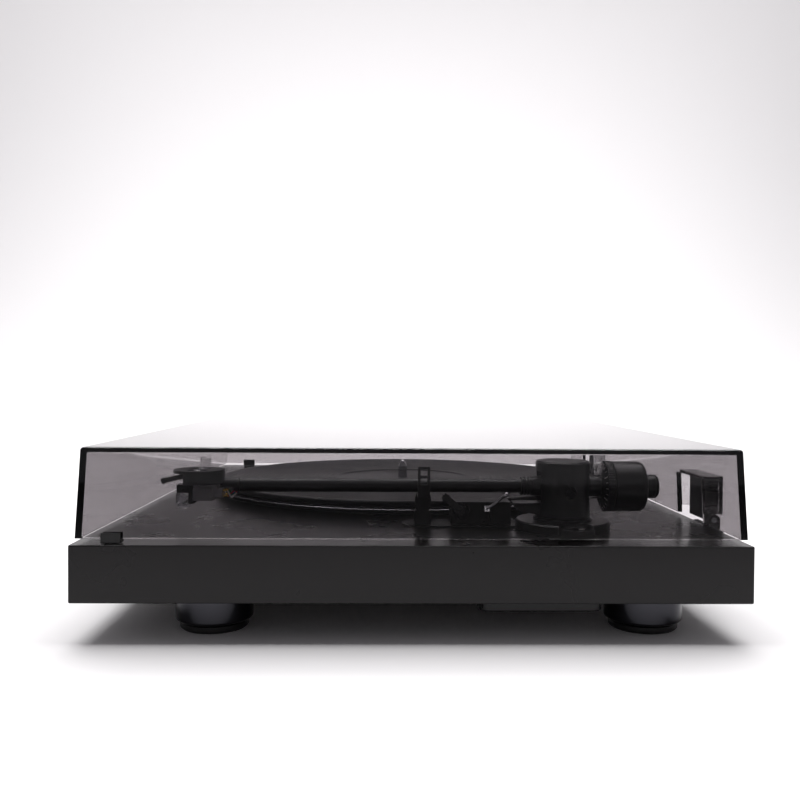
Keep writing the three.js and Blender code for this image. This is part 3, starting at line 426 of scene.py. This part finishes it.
def place_camera():
    """The viewpoint: level with the cover, facing the tonearm side."""
    place = Vector((0.6582, -0.0202, 0.1411))
    yaw, pitch, roll = 0.0186, 0.022, 0.0061
    data = bpy.data.cameras.new("camera")
    data.sensor_width = 36.0
    data.lens = 37.57
    made = bpy.data.objects.new("camera", data)
    bpy.context.scene.collection.objects.link(made)
    forward = Vector((-math.cos(yaw) * math.cos(pitch), math.sin(yaw) * math.cos(pitch), -math.sin(pitch)))
    right = forward.cross(Vector((0, 0, 1))).normalized()
    up = right.cross(forward)
    level = right * math.cos(roll) + up * math.sin(roll)
    head = up * math.cos(roll) - right * math.sin(roll)
    matrix = Matrix((level, head, -forward)).transposed().to_4x4()
    matrix.translation = place
    made.matrix_world = matrix
    bpy.context.scene.camera = made


# ------------------------------------------------------------------ plinth, feet and electronics

def make_plinth():
    """The film-wrapped board keeps its CAD edges, which are already rounded over."""
    refined("plinth", board_film, 0)


def make_feet():
    """Each foot is a spun cup with a groove round its top, on a rubber ring that is hollow underneath."""
    for end in ("front", "rear"):
        for side in ("left", "right"):
            make_foot_cup(f"{end}_{side}")
            make_foot_ring(f"{end}_{side}")


def make_foot_cup(corner):
    """A turned cup that widens from its base, with a fine groove below its top edge."""
    foot = Place(f"foot_{corner}")
    r = foot.size.x / 2
    low = foot.low.z
    top = plinth.low.z - GAP
    groove = r - 0.5 * MM
    profile = [(0, low), (r - 2 * MM, low), (r, low + 1.7 * MM), (r, top - 3.4 * MM),
               (groove, top - 3.1 * MM), (groove, top - 2.7 * MM), (r, top - 2.4 * MM), (r, top), (0, top)]
    cup = spun(rounded(profile, 0.7 * MM), "Z", (foot.mid.x, foot.mid.y, 0), 96)
    piece(f"foot_cup_{corner}", cup, silver, "chassis", (f"foot_{corner}",))


def make_foot_ring(corner):
    """A rubber ring that stands on its rim, with a shallow hollow inside it."""
    pad = Place(f"foot_pad_{corner}")
    r = pad.size.x / 2
    hollow = 0.6 * MM
    profile = [(0, hollow), (r - 6 * MM, hollow), (r - 6.6 * MM, 0), (r - 1.2 * MM, 0), (r, 1.2 * MM),
               (r, pad.high.z), (0, pad.high.z)]
    ring = spun(rounded(profile, 0.5 * MM), "Z", (pad.mid.x, pad.mid.y, 0), 96)
    piece(f"foot_ring_{corner}", ring, rubber, "chassis", (f"foot_pad_{corner}",))


def make_electronics():
    """The parts under and behind the plinth: board, cover plate, sockets, ground post and rocker."""
    refined("electronics_cover", abs_satin, 0.3 * MM)
    dressed(["control_board"], laminate)
    refined("rear_panel", abs_satin, 0.15 * MM)
    refined("power_inlet", abs_gloss, 0.15 * MM)
    make_jack("left", white_pvc)
    make_jack("right", red_pvc)
    make_ground_post()
    refined("power_rocker", abs_gloss, 0.4 * MM, 3)


def make_jack(side, insulation):
    """A plated signal socket with a flange, and the coloured ring inside its barrel."""
    jack = Place(f"output_socket_{side}")
    centre = (jack.mid.x, 0, jack.mid.z)
    r = jack.size.x / 2
    back, mouth = jack.low.y, jack.high.y
    barrel = r - 1 * MM
    stem = r - 2 * MM
    wall = 0.7 * MM
    floor = mouth - 6 * MM
    flange = Place("rear_panel").high.y + GAP
    flange_face = flange + 1.2 * MM
    profile = [(0, back), (stem, back), (stem, flange), (r, flange), (r, flange_face), (barrel, flange_face),
               (barrel, mouth), (barrel - wall, mouth), (barrel - wall, floor), (0, floor)]
    piece(f"output_jack_{side}", spun(rounded(profile, 0.2 * MM), "Y", centre, 48), gold, "chassis",
          (f"output_socket_{side}",))
    inner, outer = 1.5 * MM, barrel - wall - 0.1 * MM
    start, end = floor + 0.1 * MM, mouth - 0.5 * MM
    profile = [(inner, start), (outer, start), (outer, end), (inner, end), (inner, start)]
    insert = spun(profile, "Y", centre, 48)
    piece(f"jack_insert_{side}", insert, insulation, "chassis")


def make_ground_post():
    """A plated post: a washer, a knurled thumb nut and the rounded end of the screw."""
    post = Place("ground_terminal")
    centre = (post.mid.x, 0, post.mid.z)
    end = post.high.y
    bm = knurled(4 * MM, 0.25 * MM, end - 5.4 * MM, end - 0.8 * MM, 36, "Y", centre)
    washer = [(0, end - 6.5 * MM), (3.2 * MM, end - 6.5 * MM), (3.2 * MM, end - 5.5 * MM),
              (0, end - 5.5 * MM)]
    spun(rounded(washer, 0.1 * MM), "Y", centre, 36, bm)
    screw = [(0, end - 0.7 * MM), (2.4 * MM, end - 0.7 * MM), (2.4 * MM, end), (0, end)]
    spun(rounded(screw, 0.15 * MM), "Y", centre, 36, bm)
    piece("ground_post_knob", bm, gold, "chassis", ("ground_terminal",))


def knurled(radius, depth, start, end, teeth, axis, centre):
    """A grip ring with straight knurls round it, closed at both ends, along Y or Z."""
    bm = bmesh.new()
    rim = bmesh.ops.create_circle(bm, cap_ends=True, radius=radius, segments=teeth * 4)["verts"]
    for i, vert in enumerate(rim):
        if i % 4 in (0, 1):
            vert.co *= (radius - depth) / radius
    grown = bmesh.ops.extrude_face_region(bm, geom=[rim[0].link_faces[0]])
    top = [v for v in grown["geom"] if isinstance(v, bmesh.types.BMVert)]
    bmesh.ops.translate(bm, vec=(0, 0, end - start), verts=top)
    ends = [e for e in bm.edges if abs(e.verts[0].co.z - e.verts[1].co.z) < 1e-9]
    bmesh.ops.bevel(bm, geom=ends, offset=0.3 * MM, offset_type="OFFSET", affect="EDGES", segments=1,
                    profile=0.5, material=-1)
    turn = Matrix.Rotation(math.radians(-90), 4, "X") if axis == "Y" else Matrix.Identity(4)
    shift = Vector((0, start, 0)) if axis == "Y" else Vector((0, 0, start))
    bmesh.ops.transform(bm, matrix=Matrix.Translation(Vector(centre) + shift) @ turn, verts=bm.verts)
    return bm


# ------------------------------------------------------------------ platter and drive

def make_platter():
    """A cast platter with a bright cut bead round its rim, a ribbed mat and the spindle."""
    r = platter.size.x / 2
    centre = (platter.mid.x, platter.mid.y, 0)
    low, high = platter.low.z, platter.high.z
    web = high - 3 * MM
    skin = r - 0.4 * MM
    channel = r - 1 * MM
    rim = [(BORE, web), (r - 9 * MM, web), (r - 7 * MM, low), (r - 1.2 * MM, low), (skin, low + 0.8 * MM),
           (skin, low + 1.9 * MM), (channel, low + 2.1 * MM), (channel, low + 3.1 * MM),
           (skin, low + 3.3 * MM), (skin, high - 0.5 * MM), (r - 0.9 * MM, high), (BORE, high), (BORE, web)]
    piece("platter_casting", spun(rim, "Z", centre, 160), platter_metal, "platter", ("platter",))
    root, shoulder = r - 1.4 * MM, r - 0.25 * MM
    bead = [(root, low + 2.2 * MM), (shoulder, low + 2.2 * MM), (r, low + 2.45 * MM), (r, low + 2.75 * MM),
            (shoulder, low + 3 * MM), (root, low + 3 * MM), (root, low + 2.2 * MM)]
    piece("platter_bead", spun(bead, "Z", centre, 160), bead_metal, "platter")
    make_mat(centre)
    spindle = Place("spindle")
    s = spindle.size.x / 2
    top = spindle.high.z
    profile = [(0, spindle.low.z), (s, spindle.low.z), (s, top - 4.5 * MM), (1.5 * MM, top - 0.7 * MM),
               (0.8 * MM, top), (0, top)]
    piece("spindle_pin", spun(rounded(profile, 0.5 * MM), "Z", centre, 48), chrome, "platter", ("spindle",))


def make_mat(centre):
    """The mat's top is a set of shallow concentric ribs between the label recess and the lip."""
    mat = Place("platter_mat")
    r = mat.size.x / 2
    low, high = mat.low.z, mat.high.z
    label = 52 * MM
    pitch = 4 * MM
    furrow = high - 0.5 * MM
    recess = high - 1 * MM
    profile = [(BORE, low), (r - 0.4 * MM, low), (r, low + 0.4 * MM), (r, high - 0.8 * MM),
               (r - 0.8 * MM, high)]
    radius = r - 5 * MM
    while radius - pitch > label + 2 * MM:
        profile += [(radius, high), (radius - 0.5 * MM, furrow), (radius - 1.4 * MM, furrow),
                    (radius - 1.9 * MM, high)]
        radius -= pitch
    profile += [(label, high), (label - 1 * MM, recess), (BORE, recess), (BORE, low)]
    piece("ribbed_mat", spun(profile, "Z", centre, 128), rubber, "platter", ("platter_mat",))


def make_drive():
    """The drive under the platter keeps its CAD shapes."""
    dressed(["sub_platter"], nylon)
    dressed(["motor_body", "arm_base_nut"], zinc)
    dressed(["motor_pulley", "bearing_housing"], gold)
    dressed(["motor_isolator", "drive_belt"], rubber)


# ------------------------------------------------------------------ tonearm

def make_arm_base():
    """The turned base, the pivot cup with its two screws, and the anti-skating knob."""
    refined("arm_base", anodised, 0.25 * MM)
    refined("arm_mount_plate", abs_satin, 0.12 * MM)
    refined("arm_housing", anodised, 0.3 * MM)
    for side in ("left", "right"):
        refined(f"arm_pivot_screw_{side}", dark_steel, 0.12 * MM)
    dial = Place("antiskate_dial")
    centre = (dial.mid.x, dial.mid.y, 0)
    r = dial.size.x / 2
    low, high = dial.low.z, dial.high.z
    dish = high - 1 * MM
    crown = high - 0.6 * MM
    profile = [(0, low), (r - 0.6 * MM, low), (r, low + 0.6 * MM), (r, crown), (r - 0.5 * MM, high),
               (r - 1.8 * MM, high), (r - 2.5 * MM, dish), (r - 5 * MM, dish), (r - 5.2 * MM, crown),
               (0, crown)]
    knob = spun(rounded(profile, 0.25 * MM), "Z", centre, 72)
    piece("antiskate_knob", knob, abs_gloss, "antiskate", ("antiskate_dial",))
    marker = block((dial.mid.x - 0.35 * MM, dial.mid.y + 1 * MM, high - 0.7 * MM),
                   (dial.mid.x + 0.35 * MM, dial.mid.y + 4.4 * MM, high - 0.45 * MM), 0.05 * MM, 1)
    piece("antiskate_marker", marker, white_pvc, "antiskate")


def make_arm():
    """The arm's tube with its stub, the ribbed collar, and what the arm carries."""
    centre = (arm_x, 0, arm_z)
    r = 4.05 * MM
    stub = tube.size.x / 2
    collar = Place("arm_collar")
    step = collar.high.y + GAP
    front, rear = tube.low.y, tube.high.y
    profile = [(0, front), (r - 0.3 * MM, front), (r, front + 0.3 * MM), (r, step), (stub, step),
               (stub, rear), (0, rear)]
    piece("arm_pipe", spun(profile, "Y", centre, 64), anodised, "arm", ("arm_tube",))
    c0, c1 = collar.low.y, collar.high.y
    outer = collar.size.x / 2
    inner = r + 0.1 * MM
    profile = [(inner, c0), (outer - 0.9 * MM, c0)]
    for i in range(3):
        y = c0 + (1 + 1.9 * i) * MM
        profile += [(outer - 0.8 * MM, y), (outer - 1.2 * MM, y + 0.2 * MM), (outer - 1.2 * MM, y + 0.7 * MM),
                    (outer - 0.7 * MM, y + 0.9 * MM)]
    profile += [(outer, c1), (inner, c1), (inner, c0)]
    piece("ribbed_collar", spun(profile, "Y", centre, 64), abs_satin, "arm", ("arm_collar",))
    dressed(["gimbal_block"], anodised)
    make_headshell()
    make_cartridge()
    make_counterweight()


def make_headshell():
    """The round shell with its slots, the finger lift that droops to a ball, and two socket screws."""
    refined("headshell", abs_satin, 0.3 * MM, 3, shortest=1.5 * MM)
    make_finger_lift()
    for side in ("left", "right"):
        screw = Place(f"headshell_screw_{side}")
        r = screw.size.x / 2
        shank = 1 * MM
        socket = 0.9 * MM
        low, high = screw.low.z, screw.high.z
        under = high - 1.2 * MM
        floor = high - 0.7 * MM
        profile = [(0, low), (shank, low), (shank, under), (r, under), (r, high - 0.4 * MM),
                   (r - 0.4 * MM, high), (socket + 0.1 * MM, high), (socket, floor), (0, floor)]
        bolt = spun(rounded(profile, 0.12 * MM), "Z", (screw.mid.x, screw.mid.y, 0), 36)
        piece(f"headshell_bolt_{side}", bolt, chrome, "arm", (f"headshell_screw_{side}",))


def make_finger_lift():
    """A round bar that curves out and down from the shell and swells to a ball at its tip."""
    lift = Place("finger_lift")
    ball = 2 * MM
    tip = (lift.mid.x, lift.low.y + ball, lift.low.z + ball)
    root = (lift.mid.x, lift.high.y, lift.high.z - 1.6 * MM)
    mid = (lift.mid.x, 0.45 * tip[1] + 0.55 * root[1], 0.4 * tip[2] + 0.6 * root[2])
    path = curve_points([root, mid, tip], 8)
    swell = [1.55 * MM, 1.7 * MM, 1.95 * MM, 1.6 * MM]
    radii = [1.5 * MM] * (len(path) - len(swell)) + swell
    piece("finger_lift_bar", pipe(path, radii, 20), abs_satin, "arm", ("finger_lift",), smooth=60)


def make_cartridge():
    """The cartridge body, the stylus holder with its clear guard, and the leads behind."""
    refined("cartridge", nylon, 0.3 * MM, 2)
    refined("stylus", abs_gloss, 0.15 * MM, 2)
    refined("stylus_guard", clear, 0.2 * MM, 2)
    make_leads()


def make_leads():
    """Four leads that bow out below the arm between the cartridge's pins and the plug in the neck."""
    leads = Place("cartridge_leads")
    start, end = leads.low.y, leads.high.y - 1 * MM
    length = end - start
    plug_z = leads.high.z - 2.6 * MM
    # Each has its insulation, its place across in mm, its share of the bow's rise, and its pin's drop in mm.
    kinds = (("blue", blue_pvc, -3.45, 0.5, 3.6), ("green", green_pvc, -1.15, 0.35, 0.0),
             ("red", red_pvc, 1.15, 1.0, 3.6), ("white", white_pvc, 3.45, 0.0, 0.0))
    for name, insulation, across, rise, row in kinds:
        x = arm_x + across * MM
        pin_z = leads.high.z - (0.7 + row) * MM
        bow = leads.low.z + (0.6 + 2.4 * rise) * MM
        path = curve_points([
            (x, start + 0.3 * MM, pin_z), (x, start + 0.3 * length, pin_z), (x, start + 0.62 * length, bow),
            (x - 0.1 * across * MM, start + 0.85 * length, bow + 1.2 * MM),
            (arm_x + 0.45 * across * MM, end, plug_z)], 6)
        strand = pipe(path, [0.5 * MM] * len(path), 12)
        stands_for = ("cartridge_leads",) if name == "white" else ()
        piece(f"cartridge_lead_{name}", strand, insulation, "arm", stands_for, 70)
        r, clip_length = 0.75 * MM, 2.6 * MM
        clip = spun(rounded([(0, 0), (r, 0), (r, clip_length), (0, clip_length)], 0.15 * MM), "Y",
                    (x, start - 0.1 * MM, pin_z), 20)
        piece(f"lead_clip_{name}", clip, gold, "arm")


def make_counterweight():
    """The tracking force ring with its grip and marks, and the weight behind it."""
    centre = (arm_x, 0, arm_z)
    bore = 6.5 * MM
    make_force_ring(centre, bore)
    weight = Place("counterweight")
    r = weight.size.x / 2
    front, rear = weight.low.y, weight.high.y
    face = rear - 8.3 * MM
    boss = 7.1 * MM
    groove = boss - 0.5 * MM
    cavity = rear - 8.6 * MM
    profile = [(bore, front), (r - 0.5 * MM, front), (r, front + 0.5 * MM), (r, face - 3.4 * MM),
               (r - 0.9 * MM, face - 1 * MM), (r - 3.4 * MM, face), (boss, face), (boss, rear - 2.4 * MM),
               (groove, rear - 2 * MM), (groove, rear - 1.6 * MM), (boss, rear - 1.2 * MM),
               (boss - 0.9 * MM, rear), (0, rear)]
    bm = spun([*rounded(profile, 1.2 * MM, 5), (0, cavity), (bore, cavity), (bore, front)], "Y", centre, 96)
    piece("balance_weight", bm, anodised, "weight", ("counterweight",))


def make_force_ring(centre, bore):
    """A cone of marks that faces the pivot, and a knurled grip behind it."""
    dial = Place("force_dial")
    r = dial.size.x / 2
    front, rear = dial.low.y, dial.high.y
    cone = 1.9 * MM
    inner, outer = 10 * MM, r - 0.5 * MM
    profile = [(bore, front), (inner, front), (outer, front + cone), (bore, front + cone), (bore, front)]
    scale = spun(profile, "Y", centre, 96)
    grip = knurled(r, 0.3 * MM, front + cone + 0.1 * MM, rear, 60, "Y", centre)
    piece("force_ring_grip", grip, abs_satin, "tracking_ring", ("force_dial",), smooth=25)
    piece("force_ring_scale", scale, abs_gloss, "tracking_ring")
    make_force_marks(centre, math.atan2(outer - inner, cone), (0, front + cone - 0.2 * MM, r - 1.0 * MM))


def make_force_marks(centre, slope, start):
    """Raised lines round the scale's cone, every fourth one longer."""
    count = 24
    half_width, half_height = 0.12 * MM, 0.09 * MM
    lean = Matrix.Rotation(math.pi / 2 - slope, 4, "X").inverted() @ Matrix.Rotation(math.pi, 4, "X")
    marks = bmesh.new()
    for i in range(count):
        length = (1.8 if i % 4 else 3.2) * MM
        mark = block((-half_width, -half_height, 0), (half_width, half_height, length))
        turn = Matrix.Rotation(2 * math.pi * i / count, 4, "Y")
        mark.transform(Matrix.Translation(centre) @ turn @ Matrix.Translation(start) @ lean)
        copy = bpy.data.meshes.new("mark")
        mark.to_mesh(copy)
        marks.from_mesh(copy)
        mark.free()
        bpy.data.meshes.remove(copy)
    piece("force_ring_marks", marks, white_pvc, "tracking_ring")


def make_rest_and_lift():
    """The arm's rest and the cueing block with its lever, cam and bright lift bar."""
    refined("arm_rest", abs_satin, 0.35 * MM, 3)
    refined("cue_lift_body", abs_satin, 0.6 * MM, 3)
    refined("cue_lever", abs_gloss, 0.3 * MM, 3)
    refined("cue_lifter", chrome, 0, smooth=60)
    dressed(["cue_cam"], dark_steel)


# ------------------------------------------------------------------ dust cover and hinges

def make_cover():
    """The acrylic cover, its rubber bumpers, and the hinges with their pins."""
    refined("dust_cover", acrylic, 0.4 * MM, 3, shortest=60 * MM)
    for side in ("left", "right"):
        refined(f"cover_bumper_{side}", rubber, 0.5 * MM, 3)
        refined(f"hinge_leaf_{side}", abs_satin, 0.3 * MM)
        refined(f"hinge_bracket_{side}", abs_satin, 0.3 * MM)
        pin = Place(f"hinge_pin_{side}")
        r = pin.size.z / 2
        profile = [(0, pin.low.x), (r, pin.low.x), (r, pin.high.x), (0, pin.high.x)]
        rod = spun(rounded(profile, 0.2 * MM), "X", (0, pin.mid.y, pin.mid.z), 32)
        piece(f"hinge_rod_{side}", rod, zinc, "chassis", (f"hinge_pin_{side}",))


# ------------------------------------------------------------------ floor and light

def paper_with_painted_shade():
    """Matte backdrop paper: near white round the player, with painted shade that deepens it to grey along X
    from 0.45 m to 0.95 m, round and behind the camera, so that the cover reflects dark there.
    """
    material, shader = finish("paper_with_painted_shade", "f0eeef", Roughness=0.7)
    place = add_node(material, "ShaderNodeTexCoord").outputs["Object"]
    along = add_node(material, "ShaderNodeSeparateXYZ", {"Vector": place}).outputs["X"]
    # Painted shade: the paper's colour goes to dark grey round and behind the camera, standing in for the
    # unlit room that the cover reflects.
    painted_shade = add_node(material, "ShaderNodeMapRange", {"Value": along}, {"From Min": 0.45, "From Max": 0.95},
                    interpolation_type="SMOOTHSTEP")
    mix = add_node(material, "ShaderNodeMix", {"Factor": painted_shade.outputs["Result"]}, data_type="RGBA")
    mix.inputs["A"].default_value = colour("f0eeef")
    mix.inputs["B"].default_value = colour("5c5b5c")
    material.node_tree.links.new(mix.outputs["Result"], shader.inputs["Base Color"])
    return material


def make_stage():
    """A wide floor of paper that sweeps up into the wall on the far side."""
    half_depth, shift, wall_height, bend = 3.0, 0.8, 4.0, 1.2
    bm = bmesh.new()
    bmesh.ops.create_grid(bm, x_segments=1, y_segments=1, size=half_depth)
    bmesh.ops.scale(bm, vec=(1, 2, 1), verts=bm.verts)
    bmesh.ops.translate(bm, vec=(shift, 0, 0), verts=bm.verts)
    far = [e for e in bm.edges if all(v.co.x < 0 for v in e.verts)]
    wall = bmesh.ops.extrude_edge_only(bm, edges=far)["geom"]
    lifted = [v for v in wall if isinstance(v, bmesh.types.BMVert)]
    bmesh.ops.translate(bm, vec=(0, 0, wall_height), verts=lifted)
    corner = [e for e in bm.edges if all(v.co.x < -1 and abs(v.co.z) < 1e-6 for v in e.verts)]
    bmesh.ops.bevel(bm, geom=corner, offset=bend, offset_type="OFFSET", affect="EDGES", segments=24,
                    profile=0.5, material=-1)
    mesh = bpy.data.meshes.new("paper_sweep")
    bm.to_mesh(mesh)
    bm.free()
    for polygon in mesh.polygons:
        polygon.use_smooth = True
    mesh.materials.append(paper_with_painted_shade())
    floor = bpy.data.objects.new("paper_sweep", mesh)
    bpy.context.scene.collection.objects.link(floor)


def softbox(name, place, target, width, depth, watts):
    """A rectangular soft light at a place, facing a target."""
    data = bpy.data.lights.new(name, "AREA")
    data.shape = "RECTANGLE"
    data.size = width
    data.size_y = depth
    data.energy = watts
    lamp = bpy.data.objects.new(name, data)
    bpy.context.scene.collection.objects.link(lamp)
    aim = (Vector(target) - Vector(place)).to_track_quat("-Z", "Y").to_matrix().to_4x4()
    lamp.matrix_world = Matrix.Translation(place) @ aim


def make_light():
    """A dim even room, a wide softbox overhead, and one that lights the paper behind."""
    world = bpy.data.worlds.new("studio")
    world.use_nodes = True
    sky = world.node_tree.nodes["Background"]
    sky.inputs["Color"].default_value = colour("fdfaff")
    sky.inputs["Strength"].default_value = 0.22
    bpy.context.scene.world = world
    softbox("overhead_softbox", (-0.3, 0.0, 1.5), (-0.3, 0.0, 0.0), 1.4, 2.0, 48.0)
    softbox("backdrop_light", (-0.9, 0.0, 2.3), (-2.2, 0.0, 1.3), 3.8, 0.9, 29.0)
    bpy.context.scene.view_settings.view_transform = "Standard"


place_camera()
make_stage()
make_light()
make_plinth()
make_feet()
make_electronics()
make_platter()
make_drive()
make_arm_base()
make_arm()
make_rest_and_lift()
make_cover()
